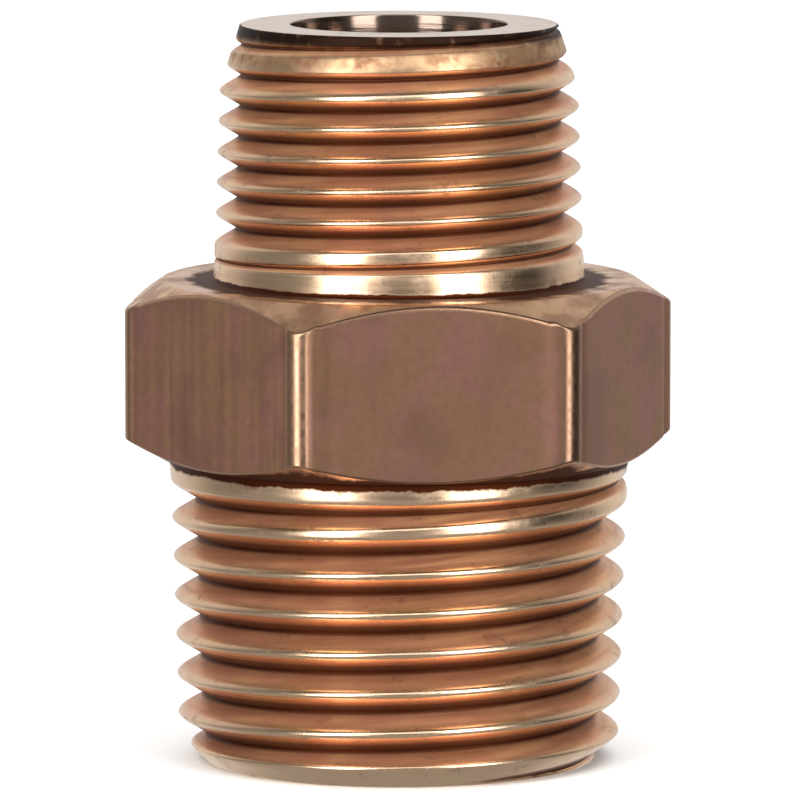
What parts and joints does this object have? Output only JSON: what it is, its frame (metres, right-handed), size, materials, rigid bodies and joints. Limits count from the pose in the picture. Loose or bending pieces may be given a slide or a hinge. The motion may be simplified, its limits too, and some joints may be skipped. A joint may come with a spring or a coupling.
{
  "type": "reducing hex nipple",
  "caption": "Short one-piece pipe fitting: a hexagonal wrench grip between a larger and a smaller male tapered pipe thread, with a bore straight through.",
  "frame": {"origin": "centre of the lower end face, the one of the larger thread", "axes": "+Z along the bore towards the smaller thread; two flats of the hexagon face +Y and -Y, two corners lie on +X and -X"},
  "size_m": [0.0254, 0.0222, 0.034],
  "materials": {
    "brass": "turned and bright-dipped, copper toned; drawn hexagon flats are duller"
  },
  "bodies": {
    "root": {"nipple_body": "brass"}
  },
  "joints": []
}
